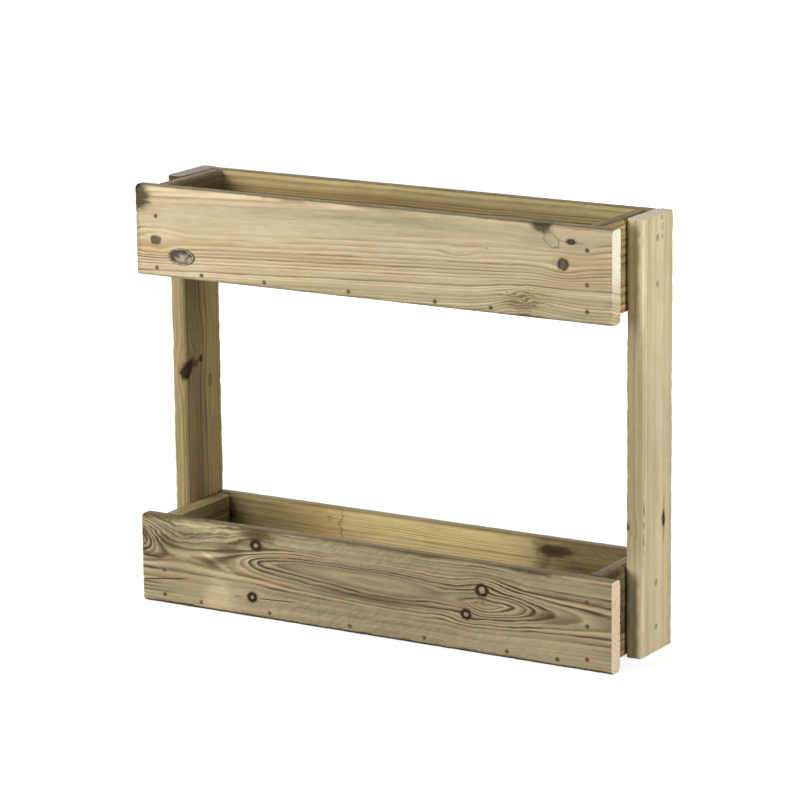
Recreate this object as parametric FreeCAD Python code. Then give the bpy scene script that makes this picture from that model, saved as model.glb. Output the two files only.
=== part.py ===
"""A two-tier garden planter of rounded softwood planks.

Two upright planks stand on edge to the viewer and carry an upper and a lower trough. Each
trough has a front board that laps across both uprights, two end boards between the uprights,
a back board flush with the uprights' back edges, and a drained floor board. Nails hold the
boards and screws hold the troughs to the uprights.

Millimetres. X runs along the troughs, Y from front to back, Z up. The origin is the middle of
the footprint, at floor level.
"""
import FreeCAD, Part
import math
import os

from FreeCAD import Rotation, Vector

# Overall sizes
overall_width = 855.0
overall_height = 682.0

# Plank stock that every trough board is cut from
plank_width = 145.0
plank_thickness = 28.0
arris_radius = 7.0

# Uprights
post_depth = 106.0
post_thickness = 28.0
post_arris_radius = 7.0

# How far each front board's left end stops short of the upright's outer face
front_board_setbacks = {"upper": 4.0, "lower": 0.0}

# Floor boards, which drop in between the end boards
floor_end_clearance = 0.5
drain_hole_diameter = 14.0
drain_hole_spacing = 190.0
drain_hole_count = 4

# Fasteners and drain holes are many and small, so they have flat sides where the real are round
fastener_sides = 8
drain_hole_sides = 24

# Wire nails, driven until the head lies just under the surface
nail_head_diameter = 5.8
nail_head_thickness = 1.2
nail_neck_length = 0.8
nail_shank_diameter = 2.8
nail_point_length = 4.0
nail_tip_diameter = 0.6
nail_grip = 32.0
nail_set_depth = 0.4

# How high the nails into the floor boards sit above a trough's underside
front_floor_nail_heights = {"upper": 9.5, "lower": 12.0}
back_floor_nail_height = 14.0

# Countersunk screws, from the outside of each upright into the end board
screw_head_diameter = 9.0
screw_head_depth = 3.4
screw_shank_diameter = 4.5
screw_point_length = 6.0
screw_tip_diameter = 0.8
screw_set_depth = 0.6
screw_end_cover = 5.0

# Nail places as shares of the board that the nails pass through, from its left end or bottom
front_end_nail_shares = {
    "upper": {"left": (0.10, 0.67), "right": (0.13, 0.41, 0.77)},
    "lower": {"left": (0.11, 0.39), "right": (0.13, 0.49, 0.75)},
}
front_floor_nail_shares = {
    "upper": (0.148, 0.285, 0.465, 0.645, 0.759),
    "lower": (0.131, 0.283, 0.458, 0.616, 0.788, 0.891),
}
back_end_nail_shares = (0.14, 0.50, 0.88)
back_floor_nail_shares = (0.12, 0.31, 0.50, 0.69, 0.88)
post_screw_height_shares = (0.27, 0.76)
post_screw_depth_share = 0.48

# Places that follow from the sizes above
half_width = overall_width / 2
overall_depth = plank_thickness + plank_width + plank_thickness
front_face = -overall_depth / 2
back_face = overall_depth / 2
inner_front = front_face + plank_thickness
inner_back = back_face - plank_thickness
post_inner_face = half_width - post_thickness
end_inner_face = post_inner_face - plank_thickness
end_middle = post_inner_face - plank_thickness / 2
post_front = back_face - post_depth
tiers = {"lower": 0.0, "upper": overall_height - plank_width}
sides = {"left": -1, "right": 1}

along_x = Vector(1, 0, 0)
along_y = Vector(0, 1, 0)
along_z = Vector(0, 0, 1)


def rounded_section(width, thickness, radius):
    """A plank's cross-section about its middle: a rectangle whose four corners are arcs."""
    flat_w = width / 2 - radius
    flat_t = thickness / 2 - radius
    corners = [(1, 1), (-1, 1), (-1, -1), (1, -1)]
    edges = []
    for number, (side_w, side_t) in enumerate(corners):
        centre = Vector(side_w * flat_w, side_t * flat_t, 0)
        out_w = centre + Vector(side_w * radius, 0, 0)
        out_t = centre + Vector(0, side_t * radius, 0)
        diagonal = Vector(side_w, side_t, 0).normalize()
        start, end = (out_w, out_t) if number % 2 == 0 else (out_t, out_w)
        edges.append(Part.Arc(start, centre + diagonal * radius, end).toShape())
    joined = []
    for number, arc in enumerate(edges):
        following = edges[(number + 1) % len(edges)]
        joined.append(arc)
        joined.append(Part.makeLine(arc.Vertexes[-1].Point, following.Vertexes[0].Point))
    return Part.Face(Part.Wire(joined))


def plank(low, high, grain, radius):
    """A plank that fills the box from low to high, its long arrises rounded along the grain."""
    size = high - low
    middle = (low + high) / 2
    if grain == along_x:
        section = rounded_section(size.z, size.y, radius)
        turn = Rotation(along_z, along_y, along_x)
    elif grain == along_y:
        section = rounded_section(size.z, size.x, radius)
        turn = Rotation(along_z, along_x, along_y)
    else:
        section = rounded_section(size.y, size.x, radius)
        turn = Rotation(along_y, along_x, along_z)
    length = abs(size.dot(grain))
    section.Placement = FreeCAD.Placement(middle - grain * (length / 2), turn)
    return section.extrude(grain * length)


def ring(diameter, depth, sides):
    """The corners of a regular outline at one depth, ending where they begin."""
    angles = [math.tau * side / sides for side in range(sides + 1)]
    radius = diameter / 2
    return [Vector(radius * math.cos(a), radius * math.sin(a), depth) for a in angles]


def many_sided(profile, sides, start, direction):
    """A flat-sided solid through its (diameter, depth) profile, from start along direction."""
    rings = [ring(diameter, depth, sides) for diameter, depth in profile]
    outlines = [rings[0], rings[-1]]
    for upper, lower in zip(rings, rings[1:]):
        for side in range(sides):
            flat = [upper[side], upper[side + 1], lower[side + 1], lower[side], upper[side]]
            outlines.append(flat)
    faces = [Part.Face(Part.makePolygon(outline)) for outline in outlines]
    solid = Part.makeSolid(Part.makeShell(faces))
    solid.Placement = FreeCAD.Placement(start, Rotation(along_z, direction))
    return solid


def nail(surface_point, direction):
    """A wire nail that holds one plank to the next: flat head, short neck, shank and point."""
    length = plank_thickness + nail_grip - nail_set_depth
    profile = [
        (nail_head_diameter, 0),
        (nail_head_diameter, nail_head_thickness),
        (nail_shank_diameter, nail_head_thickness + nail_neck_length),
        (nail_shank_diameter, length - nail_point_length),
        (nail_tip_diameter, length),
    ]
    start = surface_point + direction * nail_set_depth
    return many_sided(profile, fastener_sides, start, direction)


def screw(surface_point, direction):
    """A countersunk screw through an upright that stops short of the end board's inner face."""
    length = post_thickness + plank_thickness - screw_end_cover - screw_set_depth
    profile = [
        (screw_head_diameter, 0),
        (screw_shank_diameter, screw_head_depth),
        (screw_shank_diameter, length - screw_point_length),
        (screw_tip_diameter, length),
    ]
    start = surface_point + direction * screw_set_depth
    return many_sided(profile, fastener_sides, start, direction)


def dimple(surface_point, direction, diameter, depth):
    """The recess above a fastener's head, as deep as the head is set below the surface."""
    profile = [(diameter, 0), (diameter, depth)]
    return many_sided(profile, fastener_sides, surface_point, direction)


def bored(board, fasteners, dimples):
    """The board with a hole the shape of each fastener, so that the two meet face to face."""
    return board.cut(fasteners + dimples).removeSplitter()


def drained(board, base):
    """The floor board with its row of drain holes, drilled straight down along its middle."""
    first = -drain_hole_spacing * (drain_hole_count - 1) / 2
    profile = [(drain_hole_diameter, 0), (drain_hole_diameter, plank_thickness)]
    drills = []
    for number in range(drain_hole_count):
        place = Vector(first + number * drain_hole_spacing, 0, base)
        drills.append(many_sided(profile, drain_hole_sides, place, along_z))
    return board.cut(drills)


def export(node, solids):
    """Write one sub-part; a group of like fasteners is written as separate solids."""
    shape = solids[0] if len(solids) == 1 else Part.makeCompound(solids)
    shape.exportStep("parts/" + node + ".step")


def nail_places(tier, base):
    """Where a trough's nails enter: four lists of points on its front and back faces."""
    front_end, back_end = [], []
    for side, sign in sides.items():
        for share in front_end_nail_shares[tier][side]:
            front_end.append(Vector(sign * end_middle, front_face, base + share * plank_width))
        for share in back_end_nail_shares:
            back_end.append(Vector(sign * end_middle, back_face, base + share * plank_width))
    front_height = base + front_floor_nail_heights[tier]
    front_floor = [Vector(share * overall_width - half_width, front_face, front_height)
                   for share in front_floor_nail_shares[tier]]
    back_height = base + back_floor_nail_height
    back_floor = [Vector((2 * share - 1) * post_inner_face, back_face, back_height)
                  for share in back_floor_nail_shares]
    return front_end, front_floor, back_end, back_floor


def screw_places(base, sign):
    """Where the screws enter one upright's outer face, level with a trough's end board."""
    depth = post_front + post_screw_depth_share * post_depth
    return [Vector(sign * half_width, depth, base + share * plank_width)
            for share in post_screw_height_shares]


def make_trough(tier, base):
    """Export one trough's five boards, its nails and its screws; return what enters the posts."""
    top = base + plank_width
    front_end, front_floor, back_end, back_floor = nail_places(tier, base)
    front_groups = {
        "front_end_nails": [nail(place, along_y) for place in front_end],
        "front_floor_nails": [nail(place, along_y) for place in front_floor],
    }
    back_groups = {
        "back_end_nails": [nail(place, -along_y) for place in back_end],
        "back_floor_nails": [nail(place, -along_y) for place in back_floor],
    }
    front_dimples = [dimple(place, along_y, nail_head_diameter, nail_set_depth)
                     for place in front_end + front_floor]
    back_dimples = [dimple(place, -along_y, nail_head_diameter, nail_set_depth)
                    for place in back_end + back_floor]
    front_nails = front_groups["front_end_nails"] + front_groups["front_floor_nails"]
    back_nails = back_groups["back_end_nails"] + back_groups["back_floor_nails"]

    front_left = front_board_setbacks[tier] - half_width
    front = plank(Vector(front_left, front_face, base), Vector(half_width, inner_front, top),
                  along_x, arris_radius)
    export(tier + "_front_board", [bored(front, front_nails, front_dimples)])

    back = plank(Vector(-post_inner_face, inner_back, base),
                 Vector(post_inner_face, back_face, top), along_x, arris_radius)
    export(tier + "_back_board", [bored(back, back_nails, back_dimples)])

    floor_end = end_inner_face - floor_end_clearance
    floor = plank(Vector(-floor_end, inner_front, base),
                  Vector(floor_end, inner_back, base + plank_thickness), along_x, arris_radius)
    floor_nails = front_groups["front_floor_nails"] + back_groups["back_floor_nails"]
    export(tier + "_floor_board", [bored(drained(floor, base), floor_nails, [])])

    post_fasteners = {}
    for side, sign in sides.items():
        inward = along_x * -sign
        places = screw_places(base, sign)
        screws = [screw(place, inward) for place in places]
        dimples = [dimple(place, inward, screw_head_diameter, screw_set_depth)
                   for place in places]
        near, far = sorted((sign * end_inner_face, sign * post_inner_face))
        end = plank(Vector(near, inner_front, base), Vector(far, inner_back, top),
                    along_y, arris_radius)
        end_nails = front_groups["front_end_nails"] + back_groups["back_end_nails"]
        export(tier + "_" + side + "_end_board", [bored(end, end_nails + screws, [])])
        export(tier + "_" + side + "_post_screws", screws)
        post_fasteners[side] = screws + dimples

    for group, nails in {**front_groups, **back_groups}.items():
        export(tier + "_" + group, nails)
    return post_fasteners


def make_posts(fasteners):
    """Export the two uprights, each bored for the screws of both troughs."""
    for side, sign in sides.items():
        near, far = sorted((sign * post_inner_face, sign * half_width))
        post = plank(Vector(near, post_front, 0), Vector(far, back_face, overall_height),
                     along_z, post_arris_radius)
        export(side + "_post", [bored(post, fasteners[side], [])])


os.makedirs("parts", exist_ok=True)
all_post_fasteners = {"left": [], "right": []}
for tier_name, tier_base in tiers.items():
    entering = make_trough(tier_name, tier_base)
    for side_name in sides:
        all_post_fasteners[side_name] += entering[side_name]
make_posts(all_post_fasteners)
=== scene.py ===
"""A two-tier garden planter of rounded softwood planks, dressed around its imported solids.

Ten planks are numpy surfaces in place of their plain solids: the arrises are worn, the cross-cut
ends eased and rough, the faces pocketed at each nail and screw and split where the timber has
dried. The two floor boards keep their solids. Every plank has its own grain, with growth rings
that run round a pith.
"""

import math
from dataclasses import dataclass
from functools import reduce
from itertools import product

import bpy
import numpy as np
from bpy.props import FloatProperty, FloatVectorProperty, PointerProperty
from mathutils import Matrix, Vector


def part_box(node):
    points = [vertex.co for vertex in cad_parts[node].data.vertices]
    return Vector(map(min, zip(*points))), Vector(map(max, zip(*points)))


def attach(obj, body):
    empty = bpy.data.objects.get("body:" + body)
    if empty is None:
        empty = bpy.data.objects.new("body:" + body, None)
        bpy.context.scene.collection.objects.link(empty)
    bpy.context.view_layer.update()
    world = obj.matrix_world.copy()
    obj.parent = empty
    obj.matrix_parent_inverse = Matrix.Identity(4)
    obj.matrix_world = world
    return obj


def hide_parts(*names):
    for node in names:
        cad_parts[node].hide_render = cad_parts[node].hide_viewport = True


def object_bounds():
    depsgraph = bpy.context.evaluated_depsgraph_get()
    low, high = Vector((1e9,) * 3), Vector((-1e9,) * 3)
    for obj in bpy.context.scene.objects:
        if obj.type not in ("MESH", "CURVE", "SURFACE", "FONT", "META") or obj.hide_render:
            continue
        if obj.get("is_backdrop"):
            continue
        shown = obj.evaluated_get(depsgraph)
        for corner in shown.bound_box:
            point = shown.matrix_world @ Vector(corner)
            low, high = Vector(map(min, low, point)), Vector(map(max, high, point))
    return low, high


bl_info = {
    "name": "Two-tier garden planter",
    "version": (1, 0, 0),
    "blender": (4, 5, 0),
    "location": "3D View > Sidebar > Planter",
    "description": "Worn softwood planks, nails, screws and a bare plate round the packed planter",
    "category": "Add Mesh",
}

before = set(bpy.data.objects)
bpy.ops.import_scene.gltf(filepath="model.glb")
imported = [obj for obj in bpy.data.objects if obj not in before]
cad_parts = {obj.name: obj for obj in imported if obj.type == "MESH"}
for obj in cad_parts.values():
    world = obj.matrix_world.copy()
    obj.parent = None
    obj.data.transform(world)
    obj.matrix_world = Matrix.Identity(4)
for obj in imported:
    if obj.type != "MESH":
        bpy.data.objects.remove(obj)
cad_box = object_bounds()

MM = 0.001
BODY = "root"
NEAR, FAR = -1, 1
FACES = {"front": NEAR, "back": FAR}
SIDES = {"left": NEAR, "right": FAR}
X, Y, Z = 0, 1, 2


# Settings that a user would change


def length(name, description, millimetres):
    """A property that holds a length, given in millimetres."""
    return FloatProperty(name=name, description=description, default=millimetres * MM,
                         min=0.0, unit="LENGTH", precision=5)


def share(name, description, value, high=1.0):
    """A property that holds a share."""
    return FloatProperty(name=name, description=description, default=value, min=0.0, max=high,
                         subtype="FACTOR")


def colour(name, description, *display):
    """A property that holds a colour, given as an 8-bit display colour and kept linear."""
    parts = [value / 255 for value in display]
    linear = [p / 12.92 if p <= 0.04045 else ((p + 0.055) / 1.055) ** 2.4 for p in parts]
    return FloatVectorProperty(name=name, description=description, default=linear, size=3,
                               min=0.0, max=1.0, subtype="COLOR")


def watts(name, description, value):
    """A property that holds a lamp's power."""
    return FloatProperty(name=name, description=description, default=value, min=0.0,
                         subtype="POWER", unit="POWER")


class PlanterShape(bpy.types.PropertyGroup):
    """Sizes of the planks' surfaces and the fasteners."""

    arris_radius: length("Arris radius", "Radius of the planed long arrises", 7.0)
    arris_wear: length("Arris wear", "Deepest wear along an arris", 0.7)
    bow: length("Bow", "Deepest hollow of a face along its length", 0.5)
    end_ease: length("Eased end", "Radius of the edge round a cross-cut end", 1.1)
    end_tear: length("Torn fibre", "Deepest tear in the edge of a cross-cut end", 1.6)
    coarse_step: length("Grid step", "Distance between a plank's grid lines", 5.0)
    fine_step: length("Fine grid step", "Distance between grid lines at a nail", 0.85)
    pocket_depth: length("Pocket depth", "Depth of the crushed pocket under a head", 2.0)
    pocket_rim: length("Pocket rim", "Width of the dished timber round a head", 2.6)
    head_gap: length("Head gap", "Gap between a head's rim and the timber", 0.15)
    plate_width: length("Plate width", "Longer size of the oval plate", 51.0)
    plate_height: length("Plate height", "Shorter size of the oval plate", 27.0)
    plate_thickness: length("Plate thickness", "Height of the plate's field", 1.0)
    plate_bead: length("Plate bead", "Height of the bead round the plate", 1.7)
    plate_along: length("Plate place along", "Plate's middle from the board's left end", 85.0)
    plate_up: length("Plate place up", "Plate's middle above the board's bottom", 36.0)


class PlanterColours(bpy.types.PropertyGroup):
    """Colours of the finishes."""

    pale_early: colour("Pale earlywood", "Wide pale part of a ring, upper trough", 204, 187, 152)
    pale_late: colour("Pale latewood", "Dark line of a ring, upper trough", 146, 120, 78)
    grey_early: colour("Grey earlywood", "Wide pale part of a ring, lower trough", 177, 161, 127)
    grey_late: colour("Grey latewood", "Dark line of a ring, lower trough", 84, 68, 46)
    inner_early: colour("Inner earlywood", "Wide pale part of a ring, back and end boards",
                        196, 178, 128)
    inner_late: colour("Inner latewood", "Dark line of a ring, back and end boards", 138, 116, 64)
    post_early: colour("Upright earlywood", "Wide pale part of a ring, uprights", 202, 187, 152)
    post_late: colour("Upright latewood", "Dark line of a ring, uprights", 152, 129, 84)
    aged_early: colour("Aged earlywood", "Wide pale part of a ring, left upright", 176, 154, 108)
    aged_late: colour("Aged latewood", "Dark line of a ring, left upright", 118, 94, 58)
    cut_pale: colour("Cut end", "Cross-cut ends", 236, 226, 202)
    cut_pink: colour("Pink cut end", "Cross-cut end of the lower front board", 235, 211, 181)
    green_tint: colour("Treatment tint", "Green of the preservative", 156, 150, 108)
    pink_tint: colour("Pink tint", "Pink-brown blush of the timber", 184, 150, 116)
    # These two colours paint damp stains, and also painted shade in the troughs' inner corners and
    # on the end boards' shaded faces
    damp_stain: colour("Damp stain", "Purple-brown weathered patches", 94, 78, 58)
    damp_brown: colour("Brown damp stain", "Olive-brown weathered patches", 88, 74, 48)
    aged_top: colour("Aged top", "Weathered faces that look up", 100, 86, 56)
    # painted shade on the faces that look down
    underside_shade: colour("Underside", "Damp faces that look down", 64, 60, 42)
    resin: colour("Resin", "Amber where resin has soaked in", 178, 138, 84)
    knot_rim: colour("Knot rim", "Bark ring round a knot", 52, 40, 30)
    knot_heart: colour("Knot heart", "Middle of a knot", 172, 152, 128)
    knot_grey: colour("Grey knot", "Middle of a knot that has taken up preservative", 70, 66, 48)
    knot_dark: colour("Dark knot", "Middle of a loose black knot", 42, 32, 28)
    # painted shade inside a split
    crack: colour("Split", "Inside of a drying split", 56, 42, 24)
    steel: colour("Steel", "Dull zinc of the nails", 106, 88, 64)
    zinc: colour("Zinc", "Yellowish zinc of the screws", 146, 134, 110)
    rust: colour("Rust", "Rust on the heads", 74, 54, 34)
    # the pale bronze is the worn bead and painted light towards the plate's lower right; the dark
    # bronze carries painted shade towards its upper left
    bronze: colour("Plate bronze", "Oval plate", 52, 44, 36)
    bronze_worn_and_lit: colour("Worn bronze", "Rubbed bead of the oval plate", 142, 130, 108)


class PlanterStudio(bpy.types.PropertyGroup):
    """Camera, lamps and floor."""

    side_power: watts("Side lamp", "Power of the low lamp on the right", 45.0)
    front_power: watts("Front lamp", "Power of the large lamp in front on the left", 111.0)
    top_power: watts("Top lamp", "Power of the lamp overhead", 12.0)
    back_power: watts("Back lamp", "Power of the lamp behind on the left", 60.0)
    ambient: share("Ambient", "Strength of the light from all round", 0.23, 2.0)
    floor_glow: share("Floor glow", "The white that the eye sees the floor add near the planter",
                      0.76)
    floor_grey: share("Floor colour", "How much light the floor gives back", 0.42)
    glow_near: length("Glow start", "Distance at which the floor starts to pale to white", 900.0)
    glow_far: length("Glow end", "Distance at which the floor is plain white", 2200.0)


# Shader sums


def sums(operation, turned=False):
    """A method that adds one Math node. turned puts the other value first."""
    def method(self, *others):
        terms = (*others, self) if turned else (self, *others)
        return self.shader.node("Math", {"operation": operation}, dict(enumerate(terms)))
    return method


class Wire:
    """A node's output. Sums written with it add Math nodes to the same shader."""

    def __init__(self, shader, socket):
        self.shader = shader
        self.socket = socket

    __add__ = __radd__ = sums("ADD")
    __sub__, __rsub__ = sums("SUBTRACT"), sums("SUBTRACT", turned=True)
    __mul__ = __rmul__ = sums("MULTIPLY")
    __pow__, __abs__ = sums("POWER"), sums("ABSOLUTE")
    root, exp, sine = sums("SQRT"), sums("EXPONENT"), sums("SINE")
    floor, part = sums("FLOOR"), sums("FRACT")
    most, least = sums("MAXIMUM"), sums("MINIMUM")

    def __neg__(self):
        return self * -1.0

    def smooth(self, low, high, to_low=0.0, to_high=1.0):
        """to_low where the value is at most low, to_high from high on, an S-curve between."""
        sockets = {"Value": self, "From Min": low, "From Max": high, "To Min": to_low,
                   "To Max": to_high}
        return self.shader.node("MapRange", {"interpolation_type": "SMOOTHSTEP"}, sockets)


class Shader:
    """The nodes of a material or a world."""

    def __init__(self, holder):
        self.holder = holder
        holder.use_nodes = True
        self.tree = holder.node_tree
        self.tree.nodes.clear()

    @classmethod
    def for_material(cls, name):
        return cls(bpy.data.materials.new(name))

    def node(self, kind, settings=None, sockets=None, out=0):
        """One shader node: its settings first, then its sockets' values or links."""
        made = self.tree.nodes.new("ShaderNode" + kind)
        for name, value in (settings or {}).items():
            if name == "stops":
                self.set_stops(made.color_ramp, value)
            else:
                setattr(made, name, value)
        for name, value in (sockets or {}).items():
            if isinstance(value, Wire):
                self.tree.links.new(value.socket, made.inputs[name])
            else:
                made.inputs[name].default_value = value
        return Wire(self, made.outputs[out]) if made.outputs else None

    @staticmethod
    def set_stops(ramp, stops):
        """Grey stops, given as (place, brightness)."""
        for place, _ in stops[1:-1]:
            ramp.elements.new(place)
        for element, (place, grey) in zip(ramp.elements, stops):
            element.position = place
            element.color = (grey, grey, grey, 1.0)

    def ramp(self, value, stops):
        return self.node("ValToRGB", {"stops": stops}, {"Fac": value})

    def dice(self, number):
        """A random value from 0 to 1 that depends on a number."""
        return self.node("TexWhiteNoise", {"noise_dimensions": "1D"}, {"W": number})

    def mix(self, factor, one, other):
        """Colour: one where factor is 0, other where it is 1."""
        colours = [value if isinstance(value, Wire) else (*value, 1.0) for value in (one, other)]
        return self.node("Mix", {"data_type": "RGBA"},
                         {0: factor, 6: colours[0], 7: colours[1]}, 2)

    def brighten(self, shade, value):
        """The colour times a value."""
        return self.node("VectorMath", {"operation": "SCALE"}, {0: shade, "Scale": value})

    def point(self, along, across, depth):
        return self.node("CombineXYZ", {}, {0: along, 1: across, 2: depth})

    def split(self, vector):
        made = self.node("SeparateXYZ", {}, {0: vector})
        return [Wire(self, socket) for socket in made.socket.node.outputs]

    def attribute(self, name):
        return self.node("Attribute", {"attribute_name": name}, {}, "Fac")

    def cloud(self, point, sizes, seed, detail=3.0, roughness=0.5):
        """Noise about 0, from -0.5 to 0.5, with blotches as large as sizes along each axis."""
        place = self.node("Mapping", {}, {
            "Vector": point, "Scale": tuple(1 / size for size in sizes),
            "Location": (seed, seed * 1.7, seed * 2.3)})
        sockets = {"Vector": place, "Scale": 1.0, "Detail": detail, "Roughness": roughness}
        return self.node("TexNoise", {}, sockets) - 0.5

    def finish(self, shade, roughness, height, relief, **constants):
        """Principled surface from a colour, a roughness and a height in millimetres."""
        bump = self.node("Bump", {}, {"Height": height, "Strength": relief, "Distance": MM})
        sockets = {"Base Color": shade, "Roughness": roughness, "Normal": bump, **constants}
        surface = self.node("BsdfPrincipled", {}, sockets)
        self.node("OutputMaterial", {}, {"Surface": surface})
        return self.holder

    def place(self):
        """The object's own coordinates, in metres."""
        return self.node("TexCoord", {}, {}, "Object")

    def millimetres(self, corner=(0.0, 0.0, 0.0)):
        """The object's own coordinates, in millimetres from a corner given in metres."""
        sockets = {"Vector": self.place(), "Scale": (1 / MM,) * 3,
                   "Location": [-value / MM for value in corner]}
        return self.node("Mapping", {}, sockets)

    def eye(self):
        """1 where the eye sees the surface, by itself or through gloss or a clear part."""
        rays = [self.node("LightPath", {}, {}, f"Is {kind} Ray")
                for kind in ("Camera", "Glossy", "Transmission")]
        return rays[0].most(rays[1]).most(rays[2])


# Timber


@dataclass
class Knot:
    """A branch stub. Places in mm: along the grain, across the width; size is its radius."""

    along: float
    across: float
    size: float
    depth: float = None       # set for a knot that only one face shows
    rim: float = 1.0          # how dark the ring of bark round it is
    rim_width: float = 0.24   # half the ring's width, in radii
    heart: float = 0.6        # how far its middle differs from the timber
    stretch: float = 1.0      # how much longer it is along the grain
    lean: float = 0.0         # mm that it drops for each mm along
    reach: float = 2.6        # how far the grain bends round it, in radii
    bend: float = 0.85        # how fully the grain is pushed aside


@dataclass
class Swell:
    """A place where the rings rise or sink to the face, which closes them into arches."""

    along: float
    across: float
    left: float               # reach towards the start of the plank, in mm
    right: float
    height: float             # reach across the width, in mm
    rings: float              # shift of the rings at the middle, in mm
    crease: bool = False      # pointed arches in place of round ones


@dataclass
class Split:
    """A drying split along the grain, from start to end in mm."""

    start: float
    end: float
    across: float
    width: float = 0.9
    drop: float = 0.0         # mm that it falls from start to end


@dataclass
class Patch:
    """A blotch: a middle, two half sizes in mm, and how strong it is."""

    along: float
    across: float
    length: float
    height: float
    strength: float
    lean: float = 0.0         # mm that it drops for each mm along


@dataclass
class Figure:
    """What one plank's grain looks like. Lengths in mm, from its start, bottom and first face.
    Each patch is a row of the values that Patch takes."""

    seed: float
    pith_across: float = 70.0
    pith_depth: float = 60.0
    spacing: float = 4.0
    rise: float = 0.0         # mm that the grain climbs for each mm along
    wander: float = 14.0      # slow wander of the grain
    flutter: float = 1.6      # quick wander of the grain
    contrast: float = 0.6     # how dark the latewood lines are
    streak: float = 0.3       # strength of the fibre streaks
    band: float = 0.22        # strength of the broad bands
    stain: float = 0.25       # strength of the weather stains
    glint: float = 0.1        # how far the timber pales just after a dark line: a painted glint on the torn grain
    uneven: float = 2.2       # how much the rings differ in width
    top: float = 0.5          # how weathered the faces that look up are
    under: float = 0.2        # how dark the painted shade on the faces that look down is
    arris: float = 0.0        # how far the arrises darken, or pale where negative
    knot_tone: str = "knot_heart"
    # colour of the dark patches: damp stains and painted shade
    stain_and_shade_tone: str = "damp_stain"
    cut_tone: str = "cut_pale"
    cut_lines: float = 0.22   # how dark the rings are on a cut end
    amber: tuple = ()         # patches soaked with resin
    green: float = 0.35       # strength of the preservative's tint
    olive: tuple = ()         # patches with more of that tint
    blush: float = 0.3        # strength of the pink-brown tint
    knots: tuple = ()
    swells: tuple = ()
    splits: tuple = ()
    dark: tuple = ()          # damp patches, and painted shade in inner corners and on shaded faces
    light: tuple = ()         # pale patches, darker where negative; on some planks they are painted shade and painted highlights
    plain: tuple = ()         # patches without ring lines
    furry: tuple = ()         # patches with furry texture
    curls: tuple = ()         # patches where the grain curls
    curl_length: float = 14.0
    bold: tuple = ()          # patches where the ring lines are darker
    aged_end: tuple = ()      # patches where a cut end has the colour of the faces
    fade: float = 0.0         # mm under the first face at which every patch is gone, if set


# Stops of a ring's shading, as (share of the ring's width, strength)
RING_PROFILE = ((0.0, 0.35), (0.1, 0.04), (0.32, 0.05), (0.58, 0.38), (0.78, 1.0), (0.91, 0.95),
                (1.0, 0.35))
GLINT_PROFILE = ((0.0, 0.3), (0.12, 1.0), (0.26, 0.5), (0.42, 0.0), (0.9, 0.0), (1.0, 0.3))

CLOUDS = {
    # name: sizes of the blotches in mm along, across and through, seed, detail, roughness
    "slow": ((300, 75, 75), 0, 2),
    "quick": ((60, 12, 12), 3.1, 3),
    "ragged": ((36, 13, 13), 50, 4, 0.6),
    "edge": ((6, 6, 6), 5.7, 2),
    "patchy": ((80, 15, 15), 8.3, 3),
    "fibre": ((55, 1.15, 1.15), 11.9, 4, 0.6),
    "strand": ((48, 3.4, 3.4), 13.7, 5, 0.7),
    "band": ((420, 9, 9), 15.1, 2),
    "fleck": ((8, 0.8, 0.8), 19.3, 1),
    "mottle": ((11, 3.6, 3.6), 23, 3, 0.65),
    "hatch": ((19, 6, 9), 44, 2, 0.6),
    "tint": ((210, 42, 42), 27.7, 2),
    "blush": ((70, 17, 17), 29.3, 3),
    "stains": ((130, 26, 26), 31.1, 4, 0.6),
    "saw": ((40, 40, 0.9), 35, 2),
    "pores": ((6, 0.9, 0.9), 38, 2),
}
CURL_SEED, SEASON_SEED = 41.0, 37.0
CURL_HEIGHT = 0.42            # a curl's height, as a share of its length
STRAY_ALONG = 34.0            # mm that a patch's ragged border strays
STRAY_ACROSS = 15.0
KNOT_EDGE = 0.65              # how uneven a knot's outline is, in radii
KNOT_RIM = 0.95               # where its bark rim lies, in radii
KNOT_RIPPLES = 22.0           # how close its own rings are
TUFT_COSINE, TUFT_SINE = 0.85, 0.53
TIMBER_RELIEF, TIMBER_SPECULAR = 0.9, 0.08


def highest(masks):
    """The greatest of several masks at each point, or None where there is none."""
    return reduce(Wire.most, masks) if masks else None


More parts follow.
